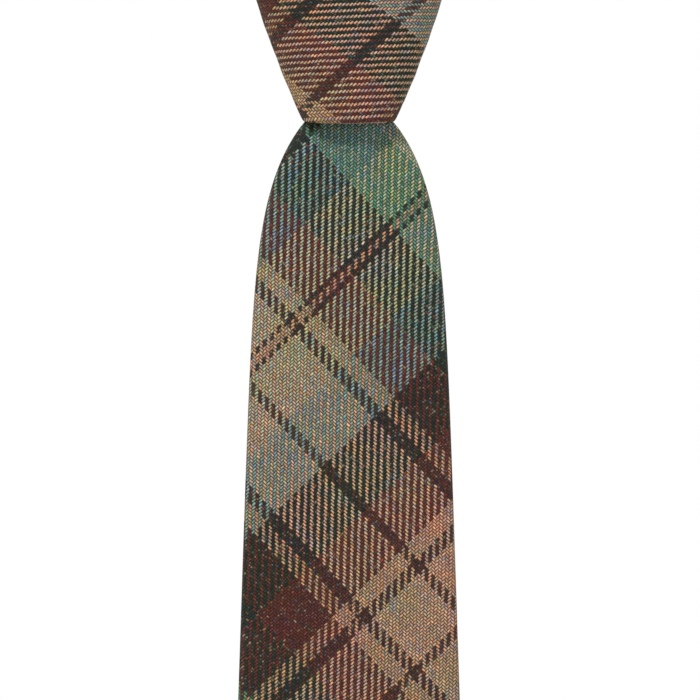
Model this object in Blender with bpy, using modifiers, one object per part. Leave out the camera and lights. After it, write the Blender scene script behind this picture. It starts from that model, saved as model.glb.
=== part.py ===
"""A wool tweed necktie, tied in a symmetrical Windsor knot and hanging as it is worn.

Frame: the origin is the centre of the neck opening, level with the top of the knot.
+Z is up and the wearer faces -Y, so the front blade shows from -Y, and the wearer's
right hand is at -X.
Distances down the blade and the tail are counted from the knot's lower edge.
Everything is in metres.
"""

import math

import bmesh
import bpy
from mathutils import Vector

MM = 0.001
OBJECT_NAME = "necktie"

# Cloth
CLOTH = 0.8 * MM  # one layer of tweed
SEAM_GAP = 1.3 * MM  # between the two folded-in flaps, where the slip stitch runs
TOUCH_GAP = 0.3 * MM  # between pieces that lie against each other
THREAD = 0.25 * MM  # radius of the slip-stitch thread

# Knot
KNOT_HEIGHT = 45 * MM
KNOT_MID_Y = -80 * MM
KNOT_BOTTOM_WIDTH = 27.5 * MM
KNOT_FLARE = 0.93  # width gained per height at the bottom
KNOT_FLARE_LOSS = 4.2  # how fast that gain fades, per metre
KNOT_FRONT_DEPTH = 8.5 * MM
KNOT_FRONT_SLOPE = 0.122
KNOT_BACK_DEPTH = 11 * MM
KNOT_BACK_SLOPE = 0.04
KNOT_SQUARENESS = 2.6  # superellipse power of its plan
WRAP = 3 * MM  # a folded wrap of the knot, pressed flat
LOOP_WRAP = 2.6 * MM
STRAND = 3.4 * MM

# Front blade
BLADE_GAP = 0.6 * MM  # from the knot's lower edge to the blade's first section
BLADE_FRONT_Y = -83 * MM
BLADE_FOLD = 1.8 * MM  # fold radius to the middle of the cloth
BLADE_WAIST_LOSS = 27.7 * MM  # how much narrower than its straight taper the blade starts
BLADE_WAIST_REACH = 18.8 * MM
BLADE_TAPER_START = 55.3 * MM
BLADE_TAPER = 0.0653
BLADE_CORNER = 425 * MM  # where the pointed end starts
BLADE_POINT_WIDTH = 6 * MM
BLADE_HEM = 12.5 * MM  # width of the folded hem at the point, measured level
BLADE_SEAM_END = 385 * MM
BLADE_LINING_INSET = 3.4 * MM  # from the folded edge to the linings inside
BLADE_INTERLINING = 1.4 * MM
BLADE_TIPPING = 0.4 * MM

# Tail
TAIL_FRONT_Y = -77.3 * MM
TAIL_FOLD = 1.5 * MM
TAIL_TOP_WIDTH = 26 * MM
TAIL_TAPER = 0.0465
TAIL_TRAVEL = 80 * MM
TAIL_START = TAIL_TRAVEL + 8 * MM  # the sliding stretch starts here
TAIL_CORNER = 344 * MM
TAIL_POINT_WIDTH = 5 * MM
TAIL_HEM = 10 * MM
TAIL_SEAM_END = 318 * MM
TAIL_LINING_INSET = 3.1 * MM
TAIL_INTERLINING = 1 * MM
TAIL_TIPPING = 0.3 * MM

# Keeper loop, label and care tag, all on the back of the blade
KEEPER_TOP = 205 * MM
KEEPER_HEIGHT = 20 * MM
KEEPER_HALF_WIDTH = 24 * MM
KEEPER_FOOT = 4 * MM
KEEPER_CLOTH = 1 * MM
LABEL_TOP = 240 * MM
LABEL_SIZE = (46 * MM, 24 * MM, 0.4 * MM)
TAG_TOP = 406 * MM
TAG_SIZE = (14 * MM, 23 * MM, 0.5 * MM)
TAG_X = 10 * MM
BAR_TACK_SIZE = (8 * MM, 2.4 * MM, 0.9 * MM)

# Neck band
NECK_HALF_X = 63.8 * MM  # to the middle of the band
NECK_HALF_Y = 67.8 * MM
NECK_FRONT_Z = 7.5 * MM
NECK_RISE = 32 * MM
BAND_WIDTH = 30 * MM
BAND_FOLD = 1.4 * MM
BAND_LEAN = math.radians(8)  # the band's top leans in, like the collar under it
BAND_INTERLINING = 1.2 * MM
BAND_INTERLINING_WIDTH = 23 * MM
STRAP_START = math.radians(35)  # angles round the neck, from the front
GUSSET_START = math.radians(118)
SEAM_HALF_ANGLE = 0.25 * MM / NECK_HALF_X

# Mesh density
FLAP_COLUMNS = 3
FOLD_COLUMNS = 4
FACE_COLUMNS = 4
FOLDED_COLUMNS = 2 * (FLAP_COLUMNS + FOLD_COLUMNS) + FACE_COLUMNS


# ---------------------------------------------------------------- helpers


def clear_scene():
    for obj in list(bpy.data.objects):
        bpy.data.objects.remove(obj)


def make_material(name, colour, roughness):
    material = bpy.data.materials.new(name)
    material.use_nodes = True
    shader = material.node_tree.nodes["Principled BSDF"]
    shader.inputs["Base Color"].default_value = (*colour, 1.0)
    shader.inputs["Roughness"].default_value = roughness
    shader.inputs["Metallic"].default_value = 0.0
    return material


def add_object(name, data, material):
    obj = bpy.data.objects.new(name, data)
    data.materials.append(material)
    tie_collection.objects.link(obj)
    return obj


def blend(start, end, share):
    return start + (end - start) * share


def steps(start, end, count, power=1.0):
    """count + 1 values from start to end. A power above 1 packs them near the start."""
    return [blend(start, end, (i / count) ** power) for i in range(count + 1)]


def smooth_path(points, per_span):
    """Points on a smooth curve through the given ones (Catmull-Rom)."""
    ends = [points[0] * 2 - points[1]] + points + [points[-1] * 2 - points[-2]]
    path = []
    for a, b, c, d in zip(ends, ends[1:], ends[2:], ends[3:]):
        for i in range(per_span):
            t = i / per_span
            path.append(
                0.5 * (2 * b + (c - a) * t + (2 * a - 5 * b + 4 * c - d) * t**2
                       + (3 * b - a - 3 * c + d) * t**3)
            )
    return path + [points[-1]]


def add_sheet(name, material, columns, stations, place, thickness):
    """Cloth of one thickness. place(column, station) gives a point of its middle surface."""
    rows = len(stations) - 1
    grid = bmesh.new()
    bmesh.ops.create_grid(grid, x_segments=columns, y_segments=rows, size=0.5)
    for vert in grid.verts:
        column = round((vert.co.x + 0.5) * columns)
        station = stations[round((vert.co.y + 0.5) * rows)]
        vert.co = place(column, station)
    mesh = bpy.data.meshes.new(name)
    grid.to_mesh(mesh)
    grid.free()
    mesh.shade_smooth()
    mesh.set_sharp_from_angle(angle=math.radians(40))
    obj = add_object(name, mesh, material)
    solidify = obj.modifiers.new("Cloth thickness", "SOLIDIFY")
    solidify.thickness = thickness
    solidify.offset = 0.0
    solidify.use_even_offset = True
    return obj


def add_box(name, material, size, centre):
    """A flat rectangle of woven or stitched trim, as (across, through, up) sizes."""
    box = bmesh.new()
    bmesh.ops.create_cube(box, size=1)
    bmesh.ops.scale(box, vec=size, verts=box.verts)
    bmesh.ops.translate(box, vec=centre, verts=box.verts)
    mesh = bpy.data.meshes.new(name)
    box.to_mesh(mesh)
    box.free()
    return add_object(name, mesh, material)


def add_outline(name, material, outline, thickness, middle_y):
    """A flat piece cut to an outline of (x, z) points, standing in the XZ plane."""
    curve = bpy.data.curves.new(name, "CURVE")
    curve.dimensions = "2D"
    curve.fill_mode = "BOTH"
    curve.extrude = thickness / 2
    spline = curve.splines.new("POLY")
    spline.points.add(len(outline) - 1)
    for point, (x, z) in zip(spline.points, outline):
        point.co = (x, z, 0, 1)
    spline.use_cyclic_u = True
    obj = add_object(name, curve, material)
    obj.rotation_euler = (math.radians(90), 0, 0)
    obj.location = (0, middle_y, 0)
    return obj


def add_thread(name, material, points):
    """A sewing thread along a list of points."""
    curve = bpy.data.curves.new(name, "CURVE")
    curve.dimensions = "3D"
    curve.bevel_depth = THREAD
    curve.bevel_resolution = 1
    curve.use_fill_caps = True
    spline = curve.splines.new("POLY")
    spline.points.add(len(points) - 1)
    for point, place in zip(spline.points, points):
        point.co = (*place, 1)
    return add_object(name, curve, material)


def add_joint_empty(name, place, parent=None):
    """An empty on a joint's axis, for the pieces that the joint moves."""
    empty = bpy.data.objects.new(name, None)
    empty.empty_display_size = 10 * MM
    tie_collection.objects.link(empty)
    empty.location = place
    if parent:
        carry(parent, [empty])
    return empty


def carry(empty, pieces):
    """Parents pieces to a joint's empty and leaves them where they are."""
    bpy.context.view_layer.update()
    for piece in pieces:
        piece.parent = empty
        piece.matrix_parent_inverse = empty.matrix_world.inverted()


# ---------------------------------------------------------------- folded cloth


def folded_point(column, width, fold, opening):
    """A point of a tie's folded cross-section, as (across, through).

    The cloth runs from the left flap's free edge, out to the left fold, over the face and back
    round the right fold. through is +fold on the face and -fold on the flaps.
    """
    centre = width / 2 - CLOTH / 2 - fold
    side = -1
    if column > FOLDED_COLUMNS / 2:
        side = 1
        column = FOLDED_COLUMNS - column
    if column <= FLAP_COLUMNS:
        return side * blend(opening / 2, centre, column / FLAP_COLUMNS), -fold
    column -= FLAP_COLUMNS
    if column <= FOLD_COLUMNS:
        turn = math.pi * column / FOLD_COLUMNS
        return side * (centre + fold * math.sin(turn)), -fold * math.cos(turn)
    column -= FOLD_COLUMNS
    return side * centre * (1 - 2 * column / FACE_COLUMNS), fold


def pointed_width(down, taper, corner, point_width):
    """Width of a tie end that tapers to its corner and is cut to a right-angled point."""
    if down <= corner:
        return taper(down)
    return max(taper(corner) - 2 * (down - corner), point_width)


def blade_taper(down):
    waist = BLADE_WAIST_LOSS * math.exp(-down / BLADE_WAIST_REACH)
    return BLADE_TAPER_START + BLADE_TAPER * down - waist


def tail_taper(down):
    return TAIL_TOP_WIDTH + TAIL_TAPER * down


def blade_width(down):
    return pointed_width(down, blade_taper, BLADE_CORNER, BLADE_POINT_WIDTH)


def tail_width(down):
    return pointed_width(down, tail_taper, TAIL_CORNER, TAIL_POINT_WIDTH)


def seam_opening(down, width, seam_end, corner, corner_width, hem):
    """Distance between the two flaps: closed down to the bar tack, then spreading to the hem."""
    if down <= seam_end:
        return SEAM_GAP
    if down <= corner:
        share = (down - seam_end) / (corner - seam_end)
        return blend(SEAM_GAP, corner_width - 2 * hem, share)
    return max(width - 2 * hem, SEAM_GAP)


def blade_opening(down):
    corner_width = blade_width(BLADE_CORNER)
    return seam_opening(down, blade_width(down), BLADE_SEAM_END, BLADE_CORNER, corner_width, BLADE_HEM)


def tail_opening(down):
    corner_width = tail_width(TAIL_CORNER)
    return seam_opening(down, tail_width(down), TAIL_SEAM_END, TAIL_CORNER, corner_width, TAIL_HEM)


def point_end(taper, corner, point_width):
    return corner + (taper(corner) - point_width) / 2


def height_of(down):
    """World height of a place that far down from the knot's lower edge."""
    return -KNOT_HEIGHT - BLADE_GAP - down


def flat_outline(width, inset, downs):
    """Outline of a flat piece inside a folded end, from its top down to its point."""
    right = [(width(down) / 2 - inset, height_of(down)) for down in downs]
    left = [(-x, z) for x, z in reversed(right)]
    return right + left


# ---------------------------------------------------------------- blade and tail

BLADE_MIDDLE_Y = BLADE_FRONT_Y + CLOTH / 2 + BLADE_FOLD
BLADE_BACK_Y = BLADE_FRONT_Y + CLOTH + 2 * BLADE_FOLD
TAG_BACK_Y = BLADE_BACK_Y + TOUCH_GAP + 0.1 * MM
BLADE_END = point_end(blade_taper, BLADE_CORNER, BLADE_POINT_WIDTH)
TAIL_MIDDLE_Y = TAIL_FRONT_Y + CLOTH / 2 + TAIL_FOLD
TAIL_BACK_Y = TAIL_FRONT_Y + CLOTH + 2 * TAIL_FOLD
TAIL_END = point_end(tail_taper, TAIL_CORNER, TAIL_POINT_WIDTH)
SHOULDER_END = 70 * MM


def add_folded_end(name, material, stations, width, opening, fold, middle_y):
    def place(column, down):
        across, through = folded_point(column, width(down), fold, opening(down))
        return Vector((across, middle_y - through, height_of(down)))

    return add_sheet(name, material, FOLDED_COLUMNS, stations, place, CLOTH)


def build_blade():
    stations = (
        steps(0, SHOULDER_END, 8, 1.6)
        + steps(SHOULDER_END, BLADE_SEAM_END, 3)[1:]
        + steps(BLADE_SEAM_END, BLADE_CORNER, 3)[1:]
        + steps(BLADE_CORNER, BLADE_END, 5)[1:]
    )
    shell = add_folded_end(
        "blade_shell", tweed, stations, blade_width, blade_opening, BLADE_FOLD, BLADE_MIDDLE_Y
    )
    last = BLADE_CORNER + blade_width(BLADE_CORNER) / 2 - BLADE_LINING_INSET - MM
    downs = steps(2 * MM, SHOULDER_END, 7, 1.6) + [BLADE_CORNER, last]
    canvas_y = BLADE_FRONT_Y + CLOTH + TOUCH_GAP + BLADE_INTERLINING / 2
    outline = flat_outline(blade_width, BLADE_LINING_INSET, downs)
    canvas = add_outline("blade_interlining", interlining, outline, BLADE_INTERLINING, canvas_y)
    tipping_top = BLADE_SEAM_END - 25 * MM
    outline = flat_outline(blade_width, BLADE_LINING_INSET, [tipping_top, BLADE_CORNER, last])
    tipping_y = BLADE_BACK_Y - CLOTH - TOUCH_GAP - BLADE_TIPPING / 2
    tipping = add_outline("blade_tipping", lining, outline, BLADE_TIPPING, tipping_y)
    return [shell, canvas, tipping]


def build_tail():
    stations = (
        steps(TAIL_START, TAIL_SEAM_END, 3)
        + steps(TAIL_SEAM_END, TAIL_CORNER, 2)[1:]
        + steps(TAIL_CORNER, TAIL_END, 3)[1:]
    )
    shell = add_folded_end(
        "tail_shell", tweed, stations, tail_width, tail_opening, TAIL_FOLD, TAIL_MIDDLE_Y
    )
    last = TAIL_CORNER + tail_width(TAIL_CORNER) / 2 - TAIL_LINING_INSET - MM
    canvas_y = TAIL_FRONT_Y + CLOTH + TOUCH_GAP + TAIL_INTERLINING / 2
    downs = [TAIL_START + 2 * MM, TAIL_CORNER, last]
    outline = flat_outline(tail_width, TAIL_LINING_INSET, downs)
    canvas = add_outline("tail_interlining", interlining, outline, TAIL_INTERLINING, canvas_y)
    tipping_top = TAIL_SEAM_END - 15 * MM
    outline = flat_outline(tail_width, TAIL_LINING_INSET, [tipping_top, TAIL_CORNER, last])
    tipping_y = TAIL_BACK_Y - CLOTH - TOUCH_GAP - TAIL_TIPPING / 2
    tipping = add_outline("tail_tipping", lining, outline, TAIL_TIPPING, tipping_y)
    return [shell, canvas, tipping]


def build_tail_upper():
    """The stretch of tail next to the knot, which shortens as the tail is drawn up."""
    return add_folded_end(
        "tail_upper", tweed, steps(0, TAIL_START - TOUCH_GAP, 3),
        tail_width, tail_opening, TAIL_FOLD, TAIL_MIDDLE_Y,
    )


# ---------------------------------------------------------------- stitches and trim


def seam_thread(name, start, end, thread_y, loop_width):
    """The slip stitch in the seam, ending in the loop of spare thread that lets a tie stretch."""
    loop_height = 1.4 * loop_width
    points = [Vector((0, thread_y, height_of(down))) for down in steps(start, end, 8)]
    loop_centre = end + 2 * MM + loop_height / 2
    for i in range(1, 15):
        turn = 2 * math.pi * i / 16
        across = loop_width / 2 * math.sin(turn)
        down = loop_centre - loop_height / 2 * math.cos(turn)
        points.append(Vector((across, thread_y, height_of(down))))
    return add_thread(name, thread, points)


def bar_tack(name, seam_end, back_y):
    """The few wide stitches that close the seam's lower end."""
    width, height, thickness = BAR_TACK_SIZE
    centre = (0, back_y + TOUCH_GAP + thickness / 2, height_of(seam_end - height))
    return add_box(name, thread, (width, thickness, height), centre)


def build_blade_stitches():
    thread_y = BLADE_BACK_Y - CLOTH / 2
    seam = seam_thread("blade_slip_stitch", 6 * MM, BLADE_SEAM_END + 5 * MM, thread_y, 6 * MM)
    return [seam, bar_tack("blade_bar_tack", BLADE_SEAM_END, BLADE_BACK_Y)]


def build_tail_stitches():
    thread_y = TAIL_BACK_Y - CLOTH / 2
    start = TAIL_START + 3 * MM
    seam = seam_thread("tail_slip_stitch", start, TAIL_SEAM_END + 6 * MM, thread_y, 4 * MM)
    return [seam, bar_tack("tail_bar_tack", TAIL_SEAM_END, TAIL_BACK_Y)]


def build_keeper():
    """The band of shell cloth across the back of the blade that the tail is threaded through."""
    foot_y = BLADE_BACK_Y + TOUCH_GAP + KEEPER_CLOTH / 2
    arch_y = TAIL_BACK_Y + 0.4 * MM + KEEPER_CLOTH / 2
    half = KEEPER_HALF_WIDTH
    bend = 1.2 * MM
    side = [
        (half + KEEPER_FOOT, foot_y),
        (half + bend, foot_y),
        (half, foot_y + bend),
        (half, arch_y - bend),
        (half - bend, arch_y),
        (half / 3, arch_y),
    ]
    path = side + [(-x, y) for x, y in reversed(side)]

    def place(column, down):
        x, y = path[column]
        return Vector((x, y, height_of(down)))

    stations = steps(KEEPER_TOP, KEEPER_TOP + KEEPER_HEIGHT, 2)
    return add_sheet("keeper_loop", tweed, len(path) - 1, stations, place, KEEPER_CLOTH)


def build_label():
    width, height, thickness = LABEL_SIZE
    centre = (0, BLADE_BACK_Y + TOUCH_GAP + thickness / 2, height_of(LABEL_TOP + height / 2))
    return add_box("woven_label", label_cloth, (width, thickness, height), centre)


def build_care_tag():
    """The care tag, stitched along its top edge, which it turns up about."""
    width, height, thickness = TAG_SIZE
    centre = (TAG_X, TAG_BACK_Y + thickness / 2, height_of(TAG_TOP + height / 2))
    return add_box("care_tag", label_cloth, (width, thickness, height), centre)


# ---------------------------------------------------------------- knot


def knot_half_width(height):
    return (KNOT_BOTTOM_WIDTH + KNOT_FLARE * height - KNOT_FLARE_LOSS * height**2) / 2


def knot_point(turn, height, inset):
    """A point round the knot's plan, from the front (turn 0), that far inside its outer surface."""
    power = 2 / KNOT_SQUARENESS
    across = math.copysign(abs(math.sin(turn)) ** power, math.sin(turn))
    forward = math.copysign(abs(math.cos(turn)) ** power, math.cos(turn))
    if forward > 0:
        depth = KNOT_FRONT_DEPTH + KNOT_FRONT_SLOPE * height
    else:
        depth = KNOT_BACK_DEPTH + KNOT_BACK_SLOPE * height
    x = (knot_half_width(height) - inset) * across
    y = KNOT_MID_Y - (depth - inset) * forward
    return Vector((x, y, height - KNOT_HEIGHT))


def add_knot_wrap(name, start, end, columns, heights):
    """A wrap of folded cloth that follows the knot's outside between two turns."""
    turns = steps(math.radians(start), math.radians(end), columns)

    def place(column, height):
        return knot_point(turns[column], height, WRAP / 2)

    return add_sheet(name, tweed, columns, heights, place, WRAP)


def inner_blade_half_width(z):
    """Half width of the blade where it passes down inside the knot."""
    share = min(max((z + KNOT_HEIGHT) / KNOT_HEIGHT, 0), 1)
    return blend(10.2 * MM, 15 * MM, share)


def build_inner_blade():
    """The blade inside the knot: up behind it, over the top, and down to the mouth."""
    profile = [
        (BLADE_MIDDLE_Y, -44.4 * MM),
        (-83.6 * MM, -27 * MM),
        (-85.5 * MM, -10 * MM),
        (-84.8 * MM, 0),
        (-80.5 * MM, 3.6 * MM),
        (-75.5 * MM, 1.5 * MM),
        (-73.8 * MM, -4 * MM),
    ]
    path = smooth_path([Vector((0, y, z)) for y, z in profile], 2)
    columns = 4

    def place(column, point):
        half = inner_blade_half_width(point.z)
        return point + Vector((blend(-half, half, column / columns), 0, 0))

    return add_sheet("knot_inner_blade", tweed, columns, path, place, WRAP)


def build_tail_strand():
    """The tail where it passes straight down inside the knot."""
    columns = 2

    def place(column, z):
        half = blend(9 * MM, 9.5 * MM, (z + KNOT_HEIGHT) / KNOT_HEIGHT)
        return Vector((blend(-half, half, column / columns), TAIL_MIDDLE_Y, z))

    stations = steps(-44.4 * MM, -9 * MM, 2)
    return add_sheet("knot_tail_strand", tweed, columns, stations, place, STRAND)


def build_side_loop(name, side):
    """One of the two wraps that go over the top of the knot beside the neck."""
    front_y = -82 * MM
    back_y = -74.5 * MM
    radius = (back_y - front_y) / 2
    middle_y = (front_y + back_y) / 2
    shoulder_z = -3 * MM
    path = [(front_y, z) for z in steps(-24 * MM, shoulder_z, 3)]
    for i in range(1, 7):
        turn = math.pi * i / 6
        path.append((middle_y - radius * math.cos(turn), shoulder_z + radius * math.sin(turn)))
    path.append((back_y, -9 * MM))
    columns = 2

    def place(column, point):
        y, z = point
        height = min(z + KNOT_HEIGHT, KNOT_HEIGHT - 2 * MM)
        inner = inner_blade_half_width(z) + 0.8 * MM
        outer = (knot_half_width(height) - WRAP) * 0.95 - 0.5 * MM
        return Vector((side * blend(inner, outer, column / columns), y, z))

    return add_sheet(name, tweed, columns, path, place, LOOP_WRAP)


def build_knot():
    lower_edge = 0.7 * MM  # the flared wrap's rim leans below its middle surface
    front_heights = steps(lower_edge, KNOT_HEIGHT - 2 * MM, 6)
    back_heights = steps(7 * MM, 33 * MM, 3)
    return [
        add_knot_wrap("knot_front_band", -108, 108, 18, front_heights),
        add_knot_wrap("knot_back_band", 125, 235, 8, back_heights),
        build_inner_blade(),
        build_tail_strand(),
        build_side_loop("knot_left_loop", -1),
        build_side_loop("knot_right_loop", 1),
    ]


# ---------------------------------------------------------------- neck loop


def neck_frame(angle):
    """Middle of the neck band at an angle from the front, with its outward and upward directions."""
    x = NECK_HALF_X * math.sin(angle)
    y = -NECK_HALF_Y * math.cos(angle)
    z = NECK_FRONT_Z + NECK_RISE * (1 - math.cos(angle)) / 2
    level = Vector((x / NECK_HALF_X**2, y / NECK_HALF_Y**2, 0)).normalized()
    outward = level * math.cos(BAND_LEAN) + Vector((0, 0, math.sin(BAND_LEAN)))
    upward = Vector((0, 0, math.cos(BAND_LEAN))) - level * math.sin(BAND_LEAN)
    return Vector((x, y, z)), outward, upward


def add_neck_band(name, start, end, rows):
    def place(column, angle):
        middle, outward, upward = neck_frame(angle)
        along, through = folded_point(column, BAND_WIDTH, BAND_FOLD, SEAM_GAP)
        return middle + upward * along + outward * through

    add_sheet(name, tweed, FOLDED_COLUMNS, steps(start, end, rows), place, CLOTH)


def build_strap_drop(name, side):
    """The last stretch of the neck band, gathered on its way into the back of the knot."""
    start, _, upward = neck_frame(STRAP_START)
    before = neck_frame(STRAP_START + math.radians(8))[0]
    start += (start - before).normalized() * (2 * TOUCH_GAP)
    route = [start, Vector((24 * MM, -65.2 * MM, 6.5 * MM)), Vector((6 * MM, -70 * MM, -2 * MM))]
    path = smooth_path(route, 4)
    columns = 4

    def place(column, index):
        share = index / (len(path) - 1)
        half = blend(BAND_WIDTH / 2 - MM, 9 * MM, share)
        lean = upward.lerp(Vector((0, 0, 1)), share)
        point = path[index] + lean * blend(-half, half, column / columns)
        return Vector((side * point.x, point.y, point.z))

    add_sheet(name, tweed, columns, list(range(len(path))), place, STRAND)


def build_neck_loop():
    full = 2 * math.pi
    add_neck_band("neck_gusset", GUSSET_START, full - GUSSET_START, 12)
    strap_end = GUSSET_START - 2 * SEAM_HALF_ANGLE
    add_neck_band("tail_side_strap", STRAP_START, strap_end, 9)
    add_neck_band("blade_side_strap", full - strap_end, full - STRAP_START, 9)
    build_strap_drop("tail_strap_drop", 1)
    build_strap_drop("blade_strap_drop", -1)
    inside = STRAP_START + math.radians(1)
    columns = 2

    def place(column, angle):
        middle, _, upward = neck_frame(angle)
        half = BAND_INTERLINING_WIDTH / 2
        return middle + upward * blend(-half, half, column / columns)

    angles = steps(inside, full - inside, 30)
    add_sheet("neck_interlining", interlining, columns, angles, place, BAND_INTERLINING)
    points = []
    for angle in steps(inside, full - inside, 36):
        middle, outward, _ = neck_frame(angle)
        points.append(middle - outward * BAND_FOLD)
    add_thread("neck_slip_stitch", thread, points)


# ---------------------------------------------------------------- build

clear_scene()
tie_collection = bpy.data.collections.new(OBJECT_NAME)
bpy.context.scene.collection.children.link(tie_collection)
tweed = make_material("tweed", (0.16, 0.12, 0.08), 0.92)
interlining = make_material("interlining", (0.72, 0.69, 0.62), 0.95)
lining = make_material("tipping_lining", (0.10, 0.13, 0.10), 0.45)
thread = make_material("thread", (0.12, 0.09, 0.07), 0.6)
label_cloth = make_material("label_cloth", (0.55, 0.50, 0.40), 0.55)

build_neck_loop()

knot_slide = add_joint_empty("knot_slide_axis", (0, KNOT_MID_Y, -KNOT_HEIGHT))
carry(knot_slide, build_knot())

blade_hinge = add_joint_empty("blade_lift_axis", (0, BLADE_FRONT_Y, height_of(0)), knot_slide)
carry(blade_hinge, build_blade() + build_blade_stitches())
carry(blade_hinge, [build_keeper(), build_label(), build_tail_upper()])

tail_slide = add_joint_empty("tail_draw_axis", (0, TAIL_MIDDLE_Y, height_of(0)), blade_hinge)
carry(tail_slide, build_tail() + build_tail_stitches())

tag_place = (TAG_X, TAG_BACK_Y, height_of(TAG_TOP))
tag_hinge = add_joint_empty("care_tag_flip_axis", tag_place, blade_hinge)
carry(tag_hinge, [build_care_tag()])
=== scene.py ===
"""Looks of the wool tweed necktie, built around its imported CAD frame.

Every tweed piece is modelled as what it is: a strip folded round its canvas, with two flaps that
meet in a seam behind. Its mesh carries the place of each point on the cloth, counted
in yarns, and the tweed material weaves the tartan from that, yarn by yarn.

Frame: +Z up, the front blade faces -Y, metres.
"""

import math

import bmesh
import bpy
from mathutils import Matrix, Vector, noise


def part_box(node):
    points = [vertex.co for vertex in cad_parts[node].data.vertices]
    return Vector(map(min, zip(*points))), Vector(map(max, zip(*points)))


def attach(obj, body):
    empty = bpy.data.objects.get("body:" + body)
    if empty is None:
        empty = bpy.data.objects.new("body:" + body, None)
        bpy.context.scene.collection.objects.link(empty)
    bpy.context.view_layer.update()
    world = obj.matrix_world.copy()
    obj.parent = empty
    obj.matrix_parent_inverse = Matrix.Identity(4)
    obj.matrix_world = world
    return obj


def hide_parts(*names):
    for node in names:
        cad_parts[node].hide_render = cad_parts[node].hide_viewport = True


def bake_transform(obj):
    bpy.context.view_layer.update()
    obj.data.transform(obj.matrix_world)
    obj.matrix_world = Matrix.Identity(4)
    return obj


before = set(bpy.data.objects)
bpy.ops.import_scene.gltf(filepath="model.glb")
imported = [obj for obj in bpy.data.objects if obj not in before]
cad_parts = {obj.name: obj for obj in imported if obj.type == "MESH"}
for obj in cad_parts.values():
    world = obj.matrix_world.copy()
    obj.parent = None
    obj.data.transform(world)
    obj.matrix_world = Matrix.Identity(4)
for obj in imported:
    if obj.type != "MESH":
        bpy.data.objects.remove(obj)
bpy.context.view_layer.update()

MM = 0.001

# ---------------------------------------------------------------- sizes, from the frame

CLOTH = 0.8 * MM  # one layer of tweed
YARN = 0.73 * MM  # from one yarn to the next

blade_low, blade_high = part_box("blade_shell")
BLADE_TOP = blade_high.z
BLADE_FRONT = blade_low.y
BLADE_THICK = blade_high.y - blade_low.y
BLADE_LENGTH = blade_high.z - blade_low.z

upper_low, upper_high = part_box("tail_upper")
tail_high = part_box("tail_shell")[1]
TAIL_FRONT = upper_low.y
TAIL_THICK = upper_high.y - upper_low.y

KNOT_FOOT = BLADE_TOP + 0.6 * MM  # the knot's lower edge
KNOT_HEIGHT = -KNOT_FOOT
KNOT_MID_Y = -80 * MM

# Widths of the folded strip, as on the CAD part
WAIST_LOSS = 27.7 * MM
WAIST_REACH = 18.8 * MM
BLADE_TAPER_START = 55.3 * MM
BLADE_TAPER = 0.0653
BLADE_CORNER = 425 * MM
BLADE_HEM = 12.5 * MM
BLADE_SEAM_END = 385 * MM
TAIL_TOP_WIDTH = 26 * MM
TAIL_TAPER = 0.0465
TAIL_CORNER = 344 * MM
TAIL_HEM = 10 * MM
TAIL_SEAM_END = 318 * MM

# Neck loop, to the middle of the band
NECK_HALF_X = 63.8 * MM
NECK_HALF_Y = 67.8 * MM
NECK_FRONT_Z = 7.5 * MM
NECK_RISE = 32 * MM
BAND_WIDTH = 30 * MM
BAND_THICK = 3.6 * MM
BAND_LEAN = math.radians(8)
NECK_CANVAS = 23 * MM  # width of the canvas in the band
STRAP_START = math.radians(35)
GUSSET_START = math.radians(118)
GUSSET_SEAM = 0.4 * MM / NECK_HALF_X  # the turn taken by half the seam at each end of the gusset

# Columns of a folded section: each flap, each fold and the face
FLAP_COLUMNS = 8
FOLD_COLUMNS = 8
FACE_COLUMNS = 26
SEAM_GAP = 0.1 * MM
TAPE_YARN = 0.2 * MM  # from one yarn to the next in the label and the care tag
NARROWEST = 4.8 * MM  # below this a folded section is squeezed, not folded tighter
POINT_WIDTH = 0.8 * MM

# Knot
KNOT_BOTTOM_WIDTH = 27.5 * MM
KNOT_FLARE = 0.93
KNOT_FLARE_LOSS = 4.2
KNOT_FRONT_DEPTH = 8.5 * MM
KNOT_FRONT_SLOPE = 0.122
KNOT_BACK_DEPTH = 11 * MM
KNOT_BACK_SLOPE = 0.04
KNOT_SQUARENESS = 2.6
KNOT_CORNER = 0.6
KNOT_YARN = 0.71 * MM  # the cloth is pulled a little closer in the knot
KNOT_RISING = math.radians(42)  # the two ways that the tartan's stripes run on it
KNOT_FALLING = math.radians(37)
KNOT_TARTAN_LEVEL = 18.3 * MM
KNOT_RISING_YARN = 273.0
KNOT_FALLING_YARN = 213.0

# The tartan on the blade: the slopes of its two sets of stripes, and their yarns at its top
BLADE_WARP = math.radians(46)
BLADE_WEFT = math.radians(43)
BLADE_WARP_YARN = -181.1
BLADE_WEFT_YARN = -103.4

# Where the tail's strip is split in two
TAIL_SPLIT = 24 * MM  # the tail's strip is split into two pieces this far down from the blade's top


def blend(start, end, share):
    return start + (end - start) * share


def ease(share):
    share = min(max(share, 0.0), 1.0)
    return share * share * (3 - 2 * share)


def steps(start, end, count):
    return [blend(start, end, i / count) for i in range(count + 1)]


def ripple(x, y, seed, size):
    """Smooth noise between -1 and 1, with features of that size."""
    return noise.noise(Vector((x / size, y / size, seed * 7.31)))


# ---------------------------------------------------------------- camera, lights and floor

VIEW_WIDTH = 210 * MM  # what the camera takes in at the tie
VIEW_HEIGHT = BLADE_TOP - 68.1 * MM
CAMERA_DISTANCE = 2.5
SENSOR = 36.0
ROOM_LIGHT = 0.65  # light from the white room, which looks pure white behind the tie


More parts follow.
